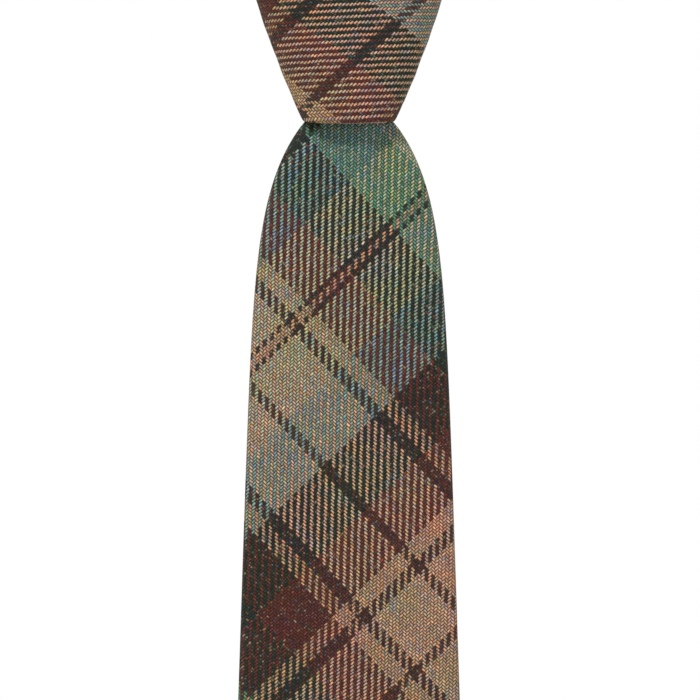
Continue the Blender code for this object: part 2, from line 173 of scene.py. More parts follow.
def build_camera():
    camera = bpy.data.cameras.new("camera")
    camera.sensor_width = SENSOR
    camera.lens = SENSOR * CAMERA_DISTANCE / VIEW_WIDTH
    camera.clip_end = 50
    obj = bpy.data.objects.new("camera", camera)
    bpy.context.scene.collection.objects.link(obj)
    obj.location = (0.3 * MM, BLADE_FRONT - CAMERA_DISTANCE, VIEW_HEIGHT)
    obj.rotation_euler = (math.radians(90), 0, 0)
    bpy.context.scene.camera = obj


def add_area_light(name, place, target, size, power):
    light = bpy.data.lights.new(name, "AREA")
    light.shape = "DISK"
    light.size = size
    light.energy = power
    obj = bpy.data.objects.new(name, light)
    bpy.context.scene.collection.objects.link(obj)
    obj.location = place
    aim = Vector(target) - Vector(place)
    obj.rotation_euler = aim.to_track_quat("-Z", "Y").to_euler()


def build_studio():
    world = bpy.data.worlds.new("white_studio")
    world.use_nodes = True
    background = world.node_tree.nodes["Background"]
    background.inputs["Color"].default_value = (1, 1, 1, 1)
    rays = world.node_tree.nodes.new("ShaderNodeLightPath")
    strength = world.node_tree.nodes.new("ShaderNodeMix")
    strength.inputs[2].default_value = ROOM_LIGHT
    strength.inputs[3].default_value = 1.0
    world.node_tree.links.new(rays.outputs["Is Camera Ray"], strength.inputs[0])
    world.node_tree.links.new(strength.outputs[0], background.inputs["Strength"])
    bpy.context.scene.world = world
    bpy.context.scene.view_settings.view_transform = "Standard"
    middle = (0, BLADE_FRONT, -0.15)
    add_area_light("key_light", (-0.8, -1.3, 1.5), middle, 0.5, 66)
    add_area_light("fill_light", (1.3, -1.7, 0.3), middle, 1.2, 20)
    add_area_light("back_light", (0.6, 1.8, 0.9), middle, 1.2, 50)


def build_floor():
    radius = 3.6
    floor_z = -0.62
    disc = bmesh.new()
    bmesh.ops.create_circle(disc, cap_ends=True, segments=96, radius=radius)
    mesh = bpy.data.meshes.new("studio_floor")
    disc.to_mesh(mesh)
    disc.free()
    floor = bpy.data.objects.new("studio_floor", mesh)
    bpy.context.scene.collection.objects.link(floor)
    floor.location.z = floor_z
    material = bpy.data.materials.new("floor_paint")
    material.use_nodes = True
    shader = material.node_tree.nodes["Principled BSDF"]
    shader.inputs["Base Color"].default_value = (0.8, 0.8, 0.79, 1)
    shader.inputs["Roughness"].default_value = 0.9
    mesh.materials.append(material)


# ---------------------------------------------------------------- material tools


def srgb(red, green, blue):
    """A linear colour from sRGB values of 0 to 255."""

    def linear(value):
        value /= 255
        return value / 12.92 if value <= 0.04045 else ((value + 0.055) / 1.055) ** 2.4

    return (linear(red), linear(green), linear(blue), 1.0)


class Graph:
    """Shorthand for building one material's nodes. Values may be numbers or sockets."""

    def __init__(self, name, roughness, sheen, sheen_colour):
        self.material = bpy.data.materials.new(name)
        self.material.use_nodes = True
        self.nodes = self.material.node_tree.nodes
        self.links = self.material.node_tree.links
        self.shader = self.nodes["Principled BSDF"]
        self.shader.inputs["Roughness"].default_value = roughness
        self.shader.inputs["Specular IOR Level"].default_value = 0.1
        self.shader.inputs["Sheen Weight"].default_value = sheen
        self.shader.inputs["Sheen Roughness"].default_value = 0.5
        self.shader.inputs["Sheen Tint"].default_value = sheen_colour

    def feed(self, socket, value):
        if isinstance(value, bpy.types.NodeSocket):
            self.links.new(value, socket)
        else:
            socket.default_value = value

    def math(self, operation, *values):
        node = self.nodes.new("ShaderNodeMath")
        node.operation = operation
        for socket, value in zip(node.inputs, values):
            self.feed(socket, value)
        return node.outputs[0]

    def add(self, a, b):
        return self.math("ADD", a, b)

    def subtract(self, a, b):
        return self.math("SUBTRACT", a, b)

    def times(self, a, b):
        return self.math("MULTIPLY", a, b)

    def choose(self, test, no, yes):
        """yes where test is 1, no where it is 0."""
        node = self.nodes.new("ShaderNodeMix")
        node.data_type = "FLOAT"
        node.clamp_factor = False
        self.feed(node.inputs[0], test)
        self.feed(node.inputs[2], no)
        self.feed(node.inputs[3], yes)
        return node.outputs[0]

    def mix_colour(self, share, a, b, mode="MIX"):
        node = self.nodes.new("ShaderNodeMix")
        node.data_type = "RGBA"
        node.blend_type = mode
        self.feed(node.inputs[0], share)
        self.feed(node.inputs[6], a)
        self.feed(node.inputs[7], b)
        return node.outputs[2]

    def vector(self, x, y, z=0.0):
        node = self.nodes.new("ShaderNodeCombineXYZ")
        for socket, value in zip(node.inputs, (x, y, z)):
            self.feed(socket, value)
        return node.outputs[0]

    def cloth_place(self):
        """The two cloth coordinates of the weave map, in yarns."""
        uv = self.nodes.new("ShaderNodeUVMap")
        uv.uv_map = "weave"
        split = self.nodes.new("ShaderNodeSeparateXYZ")
        self.links.new(uv.outputs[0], split.inputs[0])
        return split.outputs[0], split.outputs[1]

    def noise(self, vector, scale, detail=2.0, roughness=0.5):
        node = self.nodes.new("ShaderNodeTexNoise")
        self.feed(node.inputs["Vector"], vector)
        node.inputs["Scale"].default_value = scale
        node.inputs["Detail"].default_value = detail
        node.inputs["Roughness"].default_value = roughness
        return node.outputs[0]

    def random(self, x, y):
        node = self.nodes.new("ShaderNodeTexWhiteNoise")
        node.noise_dimensions = "2D"
        self.links.new(self.vector(x, y), node.inputs["Vector"])
        return node.outputs[0]

    def ramp(self, value, stops, interpolation="CONSTANT"):
        node = self.nodes.new("ShaderNodeValToRGB")
        ramp = node.color_ramp
        ramp.interpolation = interpolation
        ramp.elements.remove(ramp.elements[1])
        ramp.elements[0].position = stops[0][0]
        ramp.elements[0].color = stops[0][1]
        for place, colour in stops[1:]:
            ramp.elements.new(place).color = colour
        self.feed(node.inputs[0], value)
        return node.outputs[0]

    def brighten(self, colour, amount):
        """A colour times a value."""
        node = self.nodes.new("ShaderNodeVectorMath")
        node.operation = "SCALE"
        self.feed(node.inputs[0], colour)
        self.feed(node.inputs["Scale"], amount)
        return node.outputs[0]

    def lightness(self, colour):
        node = self.nodes.new("ShaderNodeRGBToBW")
        self.feed(node.inputs[0], colour)
        return node.outputs[0]

    def finish(self, colour, height, depth):
        self.feed(self.shader.inputs["Base Color"], colour)
        bump = self.nodes.new("ShaderNodeBump")
        bump.inputs["Strength"].default_value = 1.0
        bump.inputs["Distance"].default_value = depth
        self.feed(bump.inputs["Height"], height)
        self.links.new(bump.outputs[0], self.shader.inputs["Normal"])
        return self.material


# ---------------------------------------------------------------- tweed

# The tartan's half repeat, from the dark line in the tan stripe to the rust line in the pale one:
# (yarns, warp colour, weft colour). It is mirrored about both ends. Widths and colours were tuned
# by comparing renders with the photo.
SETT = (
    (1.6, srgb(56, 38, 33), srgb(56, 38, 33)),
    (25.9, srgb(152, 123, 101), srgb(152, 123, 101)),
    (5, srgb(50, 33, 31), srgb(50, 33, 31)),
    (7.5, srgb(146, 112, 88), srgb(146, 112, 88)),
    (21.5, srgb(68, 34, 30), srgb(68, 34, 30)),
    (25, srgb(24, 34, 28), srgb(28, 35, 29)),
    (24, srgb(99, 119, 113), srgb(65, 104, 83)),
    (23, srgb(136, 136, 112), srgb(132, 136, 112)),
    (2.3, srgb(42, 36, 32), srgb(42, 36, 32)),
    (1.7, srgb(146, 112, 90), srgb(146, 112, 90)),
)
HALF_REPEAT = sum(stripe[0] for stripe in SETT)
YARN_DRIFT = 0.9  # how unevenly the yarns lie, in yarns


def tweed_material():
    """Heathered 2/2 twill: every yarn passes over two and under two, one step on each row."""
    g = Graph("tweed", 0.9, 0.1, srgb(205, 190, 165))
    u0, v0 = g.cloth_place()
    u = g.add(u0, g.times(g.subtract(g.noise(g.vector(u0, v0, 0.0), 0.22, 2.0), 0.5), YARN_DRIFT))
    v = g.add(v0, g.times(g.subtract(g.noise(g.vector(u0, v0, 9.0), 0.22, 2.0), 0.5), YARN_DRIFT))
    i = g.math("FLOOR", u)
    j = g.math("FLOOR", v)
    along_u = g.subtract(u, i)
    along_v = g.subtract(v, j)
    difference = g.subtract(i, j)
    turn = g.math("FLOOR", g.times(g.add(difference, 0.5), 0.25))
    phase = g.subtract(difference, g.times(turn, 4.0))
    warp_up = g.math("LESS_THAN", phase, 1.5)

    yarn = g.choose(warp_up, j, i)
    across = g.choose(warp_up, along_v, along_u)
    warp_run = g.subtract(g.add(along_v, 1.0), phase)
    weft_run = g.subtract(g.add(along_u, phase), 2.0)
    run = g.times(g.choose(warp_up, weft_run, warp_run), 0.5)
    length = g.choose(warp_up, u, v)

    side = g.subtract(g.times(across, 2.0), 1.0)
    end = g.subtract(g.times(run, 2.0), 1.0)
    round_side = g.subtract(1.0, g.times(side, side))
    round_end = g.subtract(1.0, g.math("POWER", g.math("ABSOLUTE", end), 4.0))
    height = g.math("POWER", g.math("MAXIMUM", g.times(round_side, round_end), 0.0), 0.8)

    place = g.math("PINGPONG", g.add(yarn, 0.5), HALF_REPEAT)
    share = g.times(place, 1.0 / HALF_REPEAT)
    warp_stops = []
    weft_stops = []
    start = 0.0
    for yarns, warp_colour, weft_colour in SETT:
        warp_stops.append((start / HALF_REPEAT, warp_colour))
        weft_stops.append((start / HALF_REPEAT, weft_colour))
        start += yarns
    colour = g.mix_colour(warp_up, g.ramp(share, weft_stops), g.ramp(share, warp_stops))

    lot = g.add(yarn, g.times(warp_up, 517.0))

    def along_yarn(along, apart, layer, detail, roughness):
        """Noise that changes slowly along each yarn and freely from one yarn to the next."""
        place = g.vector(g.times(length, along), g.times(lot, apart), layer)
        return g.noise(place, 1.0, detail, roughness)

    patches = along_yarn(0.09, 0.23, 1.0, 2.0, 0.6)
    patch_tint = g.ramp(patches, (
        (0.3, (0.72, 0.92, 1.32, 1)),
        (0.5, (1.0, 1.0, 1.0, 1)),
        (0.7, (1.2, 0.98, 0.76, 1)),
    ), "LINEAR")
    colour = g.mix_colour(0.9, colour, patch_tint, "MULTIPLY")
    lots = g.ramp(g.noise(g.vector(u0, v0, 4.0), 0.035, 2.0), (
        (0.32, (1.12, 0.94, 1.06, 1)),
        (0.68, (0.92, 1.04, 0.9, 1)),
    ), "LINEAR")
    colour = g.mix_colour(0.9, colour, lots, "MULTIPLY")
    hue = g.random(g.math("FLOOR", g.times(length, 0.8)), lot)
    strand_tint = g.ramp(hue, (
        (0.0, (1.22, 0.9, 0.82, 1)),
        (0.18, (0.7, 0.9, 1.35, 1)),
        (0.34, (1.2, 1.17, 1.0, 1)),
        (0.62, (0.78, 1.12, 0.85, 1)),
        (0.8, (0.72, 0.68, 0.68, 1)),
    ))
    colour = g.mix_colour(0.5, colour, strand_tint, "MULTIPLY")
    flecks = along_yarn(0.55, 3.7, 2.0, 2.0, 0.6)
    fleck_hue = g.random(g.math("FLOOR", g.times(length, 0.8)), g.add(lot, 91.0))
    fleck_colour = g.ramp(fleck_hue, (
        (0.0, srgb(160, 74, 50)),
        (0.2, srgb(66, 98, 122)),
        (0.36, srgb(168, 156, 126)),
        (0.6, srgb(70, 112, 84)),
        (0.78, srgb(28, 24, 26)),
        (0.9, srgb(160, 122, 84)),
    ))
    colour = g.mix_colour(g.times(g.math("GREATER_THAN", flecks, 0.58), 0.24), colour, fleck_colour)

    yarn_tone = g.add(g.times(g.random(lot, 3.0), 0.3), 0.85)
    slub = along_yarn(0.9, 5.3, 5.0, 3.0, 0.65)
    slub_tone = g.math("MAXIMUM", g.add(g.times(slub, 1.9), 0.05), 0.3)
    fibres = g.noise(g.vector(g.times(length, 2.0), g.times(across, 7.0), lot), 1.0, 2.0, 0.7)
    fibre_tone = g.math("MAXIMUM", g.add(g.times(fibres, 2.3), -0.15), 0.25)
    # Painted shade and highlight: each yarn's colour is darkened towards its sides and ends, in the
    # crevices between yarns, and lightened on its crown. Pale yarns get deeper shade and a brighter
    # crown than dark ones.
    paleness = g.math("MINIMUM", g.times(g.lightness(colour), 7.0), 1.0)
    pale_painted_shade_and_highlight = g.add(g.times(g.math("POWER", height, 1.5), 1.2), 0.12)
    dark_painted_shade_and_highlight = g.add(g.times(height, 0.9), 0.4)
    painted_shade_and_highlight = g.choose(paleness, dark_painted_shade_and_highlight, pale_painted_shade_and_highlight)
    # The yarns' own tone (lot, slubs, fibres) times the painted shade and highlight.
    tone = g.times(g.times(yarn_tone, slub_tone), g.times(fibre_tone, painted_shade_and_highlight))
    colour = g.brighten(colour, g.times(tone, 0.79))
    relief = g.add(height, g.times(fibres, 0.25))
    return g.finish(colour, relief, 0.3 * MM)


# ---------------------------------------------------------------- other materials


def canvas_material():
    """Brushed interlining: a loose plain weave with a nap."""
    g = Graph("canvas_interlining", 0.95, 0.3, srgb(230, 225, 210))
    u, v = g.cloth_place()
    warp = g.math("ABSOLUTE", g.math("SINE", g.times(u, math.pi)))
    weft = g.math("ABSOLUTE", g.math("SINE", g.times(v, math.pi)))
    weave = g.math("MULTIPLY", warp, weft)
    nap = g.noise(g.vector(u, v, 0.0), 0.35, 3.0, 0.6)
    tone = g.add(g.times(weave, 0.25), g.times(nap, 0.6))
    colour = g.mix_colour(tone, srgb(176, 166, 144), srgb(238, 232, 218))
    return g.finish(colour, g.add(weave, nap), 0.15 * MM)


def satin_material():
    """Tipping lining: satin with fine warp lines and soft strain marks."""
    g = Graph("tipping_satin", 0.38, 0.5, srgb(190, 205, 190))
    u, v = g.cloth_place()
    lines = g.math("SINE", g.times(u, 9.0))
    slack = g.noise(g.vector(g.times(u, 0.3), g.times(v, 0.05), 0.0), 1.0, 2.0)
    tone = g.add(g.times(lines, 0.08), slack)
    colour = g.mix_colour(tone, srgb(58, 74, 62), srgb(96, 112, 94))
    return g.finish(colour, g.add(g.times(lines, 0.1), slack), 0.2 * MM)


def thread_material():
    """Silk sewing thread with its twist."""
    g = Graph("silk_thread", 0.45, 0.3, srgb(170, 150, 130))
    place = g.nodes.new("ShaderNodeTexCoord")
    wave = g.nodes.new("ShaderNodeTexWave")
    wave.bands_direction = "DIAGONAL"
    wave.inputs["Scale"].default_value = 900.0
    wave.inputs["Distortion"].default_value = 1.5
    g.links.new(place.outputs["Object"], wave.inputs["Vector"])
    colour = g.mix_colour(wave.outputs[1], srgb(58, 40, 32), srgb(120, 92, 74))
    return g.finish(colour, wave.outputs[1], 0.1 * MM)


def label_material():
    """Damask label cloth: fine ribs and a soft grain."""
    g = Graph("label_damask", 0.5, 0.35, srgb(220, 215, 195))
    u, v = g.cloth_place()
    ribs = g.math("ABSOLUTE", g.math("SINE", g.times(v, 6.0)))
    grain = g.noise(g.vector(u, v, 0.0), 2.2, 2.0)
    tone = g.add(g.times(ribs, 0.4), g.times(grain, 0.6))
    colour = g.mix_colour(tone, srgb(150, 136, 108), srgb(214, 202, 172))
    return g.finish(colour, g.add(ribs, grain), 0.08 * MM)


# ---------------------------------------------------------------- cloth meshes


def link(name, data, material):
    data.materials.append(material)
    obj = bpy.data.objects.new(name, data)
    bpy.context.scene.collection.objects.link(obj)
    return obj


def cloth_object(name, rows, material, thickness):
    """A cloth mesh from rows of (point, (u, v)), with its thickness."""
    last_row = len(rows) - 1
    last_column = len(rows[0]) - 1
    grid = bmesh.new()
    bmesh.ops.create_grid(grid, x_segments=last_column, y_segments=last_row, size=0.5)
    weave = grid.loops.layers.uv.new("weave")
    places = {}
    for vert in grid.verts:
        column = round((vert.co.x + 0.5) * last_column)
        row = round((vert.co.y + 0.5) * last_row)
        point, uv = rows[row][column]
        vert.co = point
        places[vert] = uv
    for face in grid.faces:
        for loop in face.loops:
            loop[weave].uv = places[loop.vert]
    mesh = bpy.data.meshes.new(name)
    grid.to_mesh(mesh)
    grid.free()
    mesh.shade_smooth()
    obj = link(name, mesh, material)
    solidify = obj.modifiers.new("Cloth thickness", "SOLIDIFY")
    solidify.thickness = thickness
    solidify.offset = 0.0
    return obj


def declare_sheet(piece, rows, held, slot, *nodes, pitch=YARN):
    """Hides the CAD nodes that a cloth piece stands for.

    Turnings aren't modelled.
    """
    if nodes:
        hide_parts(*nodes)


def tweed_strip(name, rows, tweed, *nodes):
    strip = cloth_object(name, rows, tweed, CLOTH)
    declare_sheet(strip, rows, "folded", "tweed", *nodes)
    return strip


def folded_section(width, thick, opening, corner=1.0):
    """A folded strip's section, as (across, depth behind the face, place on the flat cloth).

    A corner power under 1 squares off the two folds.
    """
    squeeze = min(width / NARROWEST, 1.0)
    width = max(width, NARROWEST)
    fold = (thick - CLOTH) / 2
    fold = min(fold, width / 2 - CLOTH / 2 - 0.1 * MM)
    centre = width / 2 - CLOTH / 2 - fold
    middle = CLOTH / 2 + fold
    half = []
    for i in range(FACE_COLUMNS // 2):
        x = centre * i / (FACE_COLUMNS // 2)
        half.append((x, middle - fold, x))
    for i in range(FOLD_COLUMNS):
        turn = math.pi * i / FOLD_COLUMNS
        out = math.sin(turn) ** corner
        back = math.copysign(abs(math.cos(turn)) ** corner, math.cos(turn))
        half.append((centre + fold * out, middle - fold * back, centre + fold * turn))
    for i in range(FLAP_COLUMNS + 1):
        x = blend(centre, min(opening / 2, centre), i / FLAP_COLUMNS)
        half.append((x, middle + fold, centre + fold * math.pi + centre - x))
    half = [(x * squeeze, depth, flat * squeeze) for x, depth, flat in half]
    left = [(-x, depth, -flat) for x, depth, flat in reversed(half[1:])]
    return left + half


def plain_yarns(x, y, pitch=YARN):
    """Yarn numbers for cloth that is woven square to its own edges."""
    return x / pitch, y / pitch


def bias_yarns(flat, down, warp_start, weft_start, pitch=YARN):
    """Yarn numbers for tweed cut on the bias, from where its corner lies in the tartan."""
    diagonal = math.sqrt(0.5) / pitch
    return warp_start + (down + flat) * diagonal, weft_start + (down - flat) * diagonal


# ---------------------------------------------------------------- blade


def blade_taper(down):
    waist = WAIST_LOSS * math.exp(-max(down, 0) / WAIST_REACH)
    return BLADE_TAPER_START + BLADE_TAPER * down - waist


def tail_taper(down):
    return TAIL_TOP_WIDTH + TAIL_TAPER * down


def pointed(down, taper, corner):
    """A strip's width where it tapers to its corner and is folded to a right-angled point."""
    if down <= corner:
        return taper(down)
    return max(taper(corner) - 2 * (down - corner), POINT_WIDTH)


def blade_width(down):
    mouth = 3 * MM * math.exp(-max(down + 1.2 * MM, 0) / (0.6 * MM))
    return pointed(down, blade_taper, BLADE_CORNER) - mouth


def tail_width(down):
    mouth = 7 * MM * math.exp(-max(down, 0) / (30 * MM))
    return pointed(down, tail_taper, TAIL_CORNER) - mouth


def spread_opening(down, width, seam_end, corner, corner_width, hem):
    """How far apart the flaps are: together down to the bar tack, then out to the hems."""
    if down <= seam_end:
        return SEAM_GAP
    if down <= corner:
        return blend(SEAM_GAP, corner_width - 2 * hem, (down - seam_end) / (corner - seam_end))
    return max(width - 2 * hem, SEAM_GAP)


def blade_point(x, depth, down):
    """World place on the blade: it curls back beside the knot, and its edges roll."""
    half = max(blade_width(down) / 2, 5 * MM)
    share = min(abs(x) / half, 1.0)
    near_knot = math.exp(-max(down, 0) / (24 * MM))
    curl = 3.2 * MM * near_knot * share**3
    pleat = 0.35 * MM * near_knot**1.5 * math.cos(x / (2.6 * MM) + 0.7)
    for middle, depth_share, reach in ((10.0, 1.9, 2.0), (-8.5, 1.3, 2.4)):
        hollow = math.exp(-(((x / MM - middle) / reach) ** 2))
        pleat += depth_share * MM * near_knot**1.7 * hollow
    settle = ease(down / (40 * MM))
    wave = 0.35 * MM * settle * ripple(x * 0.6, down, 1, 55 * MM)
    crown = 0.5 * MM * settle * (share**2 - 1) * ease((BLADE_LENGTH - down) / (60 * MM))
    roll = 1.7 * MM * share**6 * (1 - depth / BLADE_THICK)
    y = BLADE_FRONT + 0.4 * MM + depth + curl + pleat + wave + crown + roll
    return Vector((x, y, BLADE_TOP - down))


def tail_point(x, depth, down):
    """World place on the tail, which is pressed a little flatter inside the knot."""
    wave = 0.25 * MM * ease(down / (40 * MM)) * ripple(x, down, 4, 45 * MM)
    pressed = 1 - 0.16 * ease(-down / (6 * MM))
    y = TAIL_FRONT + TAIL_THICK / 2 + (depth - TAIL_THICK / 2) * pressed
    return Vector((x, y + wave, BLADE_TOP - down))


def blade_yarns(flat, down):
    """Yarn numbers on the blade, whose bias is a few degrees off square."""
    warp = flat * math.cos(BLADE_WARP) + down * math.sin(BLADE_WARP)
    weft = down * math.sin(BLADE_WEFT) - flat * math.cos(BLADE_WEFT)
    return BLADE_WARP_YARN + warp / YARN, BLADE_WEFT_YARN + weft / YARN


def tail_yarns(flat, down):
    return bias_yarns(flat, down, 40.0, -64.0)


def strip_rows(downs, width_at, opening_at, thick, place, yarns):
    """Rows of a folded strip that thins to its last row."""
    end = downs[-1]
    rows = []
    for down in downs:
        width = width_at(down)
        local = thick * (0.3 + 0.7 * ease((end - down) / (8 * MM)))
        section = folded_section(width, local, opening_at(down, width))
        rows.append([(place(x, depth, down), yarns(flat, down)) for x, depth, flat in section])
    return rows


def build_blade(tweed):
    corner_width = blade_width(BLADE_CORNER)
    end = BLADE_CORNER + (corner_width - POINT_WIDTH) / 2

    def opening(down, width):
        return spread_opening(down, width, BLADE_SEAM_END, BLADE_CORNER, corner_width, BLADE_HEM)

    downs = steps(-9 * MM, 30 * MM, 45)
    downs += steps(30 * MM, BLADE_CORNER, 120)[1:]
    downs += steps(BLADE_CORNER, end, 34)[1:]
    rows = strip_rows(downs, blade_width, opening, BLADE_THICK, blade_point, blade_yarns)
    blade = tweed_strip("blade_cloth", rows, tweed, "blade_shell")
    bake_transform(blade)


def build_tail(tweed):
    """One strip from inside the knot to the tail's point, in two pieces that share a row.
    """
    corner_width = tail_width(TAIL_CORNER)
    end = TAIL_CORNER + (corner_width - POINT_WIDTH) / 2

    def opening(down, width):
        return spread_opening(down, width, TAIL_SEAM_END, TAIL_CORNER, corner_width, TAIL_HEM)

    top = BLADE_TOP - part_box("knot_tail_strand")[1].z
    upper = steps(top, TAIL_SPLIT, 46)
    downs = upper + steps(TAIL_SPLIT, TAIL_CORNER, 122)[1:] + steps(TAIL_CORNER, end, 22)[1:]
    rows = strip_rows(downs, tail_width, opening, TAIL_THICK, tail_point, tail_yarns)
    split = len(upper) - 1
    strand = tweed_strip("knot_tail_cloth", rows[:split + 1], tweed, "knot_tail_strand")
    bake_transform(strand)
    tail = tweed_strip("tail_cloth", rows[split:], tweed, "tail_shell", "tail_upper")
    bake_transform(tail)


# ---------------------------------------------------------------- canvas and tipping


def lining_rows(downs, width_at, inset, depth, place, columns, puff=0.0):
    """Rows of a flat layer inside a folded strip, cut to its outline."""
    rows = []
    for down in downs:
        half = max(width_at(down) / 2 - inset, 0.6 * MM)
        row = []
        for share in steps(-1, 1, columns):
            x = half * share
            swell = puff * ripple(x, down, 8, 9 * MM) * (1 - share**2)
            row.append((place(x, depth + swell, down), plain_yarns(x, down)))
        rows.append(row)
    return rows


def build_blade_linings(canvas, satin):
    inset = 3.4 * MM
    last = BLADE_CORNER + blade_width(BLADE_CORNER) / 2 - inset - MM
    downs = steps(2 * MM, BLADE_CORNER, 70) + steps(BLADE_CORNER, last, 16)[1:]
    rows = lining_rows(downs, blade_width, inset, 1.9 * MM, blade_point, 16)
    interlining = cloth_object("blade_canvas", rows, canvas, 1.2 * MM)
    declare_sheet(interlining, rows, "laid", "interlining", "blade_interlining")
    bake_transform(interlining)
    downs = steps(BLADE_SEAM_END - 25 * MM, BLADE_CORNER, 30) + steps(BLADE_CORNER, last, 24)[1:]
    rows = lining_rows(downs, blade_width, inset, 3.1 * MM, blade_point, 30, 0.22 * MM)
    tipping = cloth_object("blade_tipping_satin", rows, satin, 0.3 * MM)
    declare_sheet(tipping, rows, "laid", "tipping_lining", "blade_tipping")
    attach(tipping, "front_blade")


def build_tail_linings(canvas, satin):
    inset = 3.1 * MM
    last = TAIL_CORNER + tail_width(TAIL_CORNER) / 2 - inset - MM
    start = tail_high.z - 2 * MM
    downs = steps(BLADE_TOP - start, TAIL_CORNER, 40) + steps(TAIL_CORNER, last, 10)[1:]
    rows = lining_rows(downs, tail_width, inset, 1.6 * MM, tail_point, 12)
    interlining = cloth_object("tail_canvas", rows, canvas, 0.9 * MM)
    declare_sheet(interlining, rows, "laid", "interlining", "tail_interlining")
    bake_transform(interlining)
    downs = steps(TAIL_SEAM_END - 15 * MM, TAIL_CORNER, 16) + steps(TAIL_CORNER, last, 14)[1:]
    rows = lining_rows(downs, tail_width, inset, 2.5 * MM, tail_point, 20, 0.18 * MM)
    tipping = cloth_object("tail_tipping_satin", rows, satin, 0.3 * MM)
    declare_sheet(tipping, rows, "laid", "tipping_lining", "tail_tipping")
    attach(tipping, "tail")


# ---------------------------------------------------------------- stitches


def thread_object(name, runs, material, radius):
    """Sewing thread: one mesh of round threads along the runs of points."""
    curve = bpy.data.curves.new(name, "CURVE")
    curve.dimensions = "3D"
    curve.bevel_depth = radius
    curve.bevel_resolution = 2
    curve.use_fill_caps = True
    for run in runs:
        spline = curve.splines.new("POLY")
        spline.points.add(len(run) - 1)
        for point, place in zip(spline.points, run):
            point.co = (*place, 1)
    source = bpy.data.objects.new(name, curve)
    bpy.context.scene.collection.objects.link(source)
    bpy.context.view_layer.update()
    mesh = bpy.data.meshes.new_from_object(source.evaluated_get(bpy.context.evaluated_depsgraph_get()))
    bpy.data.objects.remove(source)
    mesh.name = name
    mesh.materials.clear()
    mesh.shade_smooth()
    sewing = link(name, mesh, material)
    return sewing


def stitch(start, end, rise, points=7):
    """One stitch from hole to hole, lying proud of the cloth by that much."""
    run = []
    for share in steps(0, 1, points - 1):
        run.append(start.lerp(end, share) + rise * math.sin(math.pi * share))
    return run


def seam_runs(place, depth, start, end, pitch, half, loop_width):
    """Slip stitches across a seam, and the loop of spare thread below the last one."""
    rise = Vector((0, 0.35 * MM, 0))
    runs = []
    count = round((end - start) / pitch)
    for i in range(count):
        down = start + (i + 0.5) * pitch
        low = place(-half, depth, down + 0.9 * MM)
        high = place(half, depth, down - 0.9 * MM)
        runs.append(stitch(low, high, rise))
    loop = []
    height = 1.4 * loop_width
    for i in range(29):
        turn = 2 * math.pi * i / 28
        x = loop_width / 2 * math.sin(turn) * (1 + 0.15 * math.sin(2 * turn))
        down = end + 3 * MM + height * (1 - math.cos(turn)) / 2
        loop.append(place(x, depth + 0.3 * MM + 0.1 * MM * math.sin(turn), down))
    runs.append(loop)
    return runs


def tack_runs(place, depth, down):
    """A bar tack: wide stitches laid side by side, bound by a few short ones."""
    rise = Vector((0, 0.45 * MM, 0))
    runs = []
    for i in range(8):
        level = down + (i - 3.5) * 0.3 * MM
        half = 4 * MM - 0.12 * MM * (i % 3)
        runs.append(stitch(place(-half, depth, level), place(half, depth, level + 0.1 * MM), rise, 9))
    for i in range(3):
        x = (i - 1) * 2.4 * MM
        top = place(x, depth, down - 1.4 * MM)
        bottom = place(x + 0.3 * MM, depth, down + 1.4 * MM)
        runs.append(stitch(top, bottom, rise * 1.9))
    return runs


def build_stitches(silk):
    radius = 0.16 * MM
    depth = BLADE_THICK + 0.05 * MM
    runs = seam_runs(blade_point, depth, 14 * MM, BLADE_SEAM_END, 9 * MM, 1.1 * MM, 6 * MM)
    seam = thread_object("blade_seam_stitches", runs, silk, radius)
    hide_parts("blade_slip_stitch")
    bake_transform(seam)
    tack = tack_runs(blade_point, depth, BLADE_SEAM_END - 2.4 * MM)
    bar = thread_object("blade_tack_stitches", tack, silk, radius)
    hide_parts("blade_bar_tack")
    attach(bar, "front_blade")

    depth = TAIL_THICK + 0.05 * MM
    runs = seam_runs(tail_point, depth, 20 * MM, TAIL_SEAM_END, 9 * MM, 1.0 * MM, 4 * MM)
    seam = thread_object("tail_seam_stitches", runs, silk, radius)
    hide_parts("tail_slip_stitch")
    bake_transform(seam)
    tack = tack_runs(tail_point, depth, TAIL_SEAM_END - 2.4 * MM)
    bar = thread_object("tail_tack_stitches", tack, silk, radius)
    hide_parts("tail_bar_tack")
    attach(bar, "tail")


# ---------------------------------------------------------------- keeper, label and tag


def smooth_path(points, per_span):
    """Points on a smooth curve through the given ones (Catmull-Rom)."""
    ends = [points[0] * 2 - points[1]] + points + [points[-1] * 2 - points[-2]]
    path = []
    for a, b, c, d in zip(ends, ends[1:], ends[2:], ends[3:]):
        for i in range(per_span):
            t = i / per_span
            curve = 2 * b + (c - a) * t + (2 * a - 5 * b + 4 * c - d) * t**2
            path.append(0.5 * (curve + (3 * b - a - 3 * c + d) * t**3))
    return path + [points[-1]]


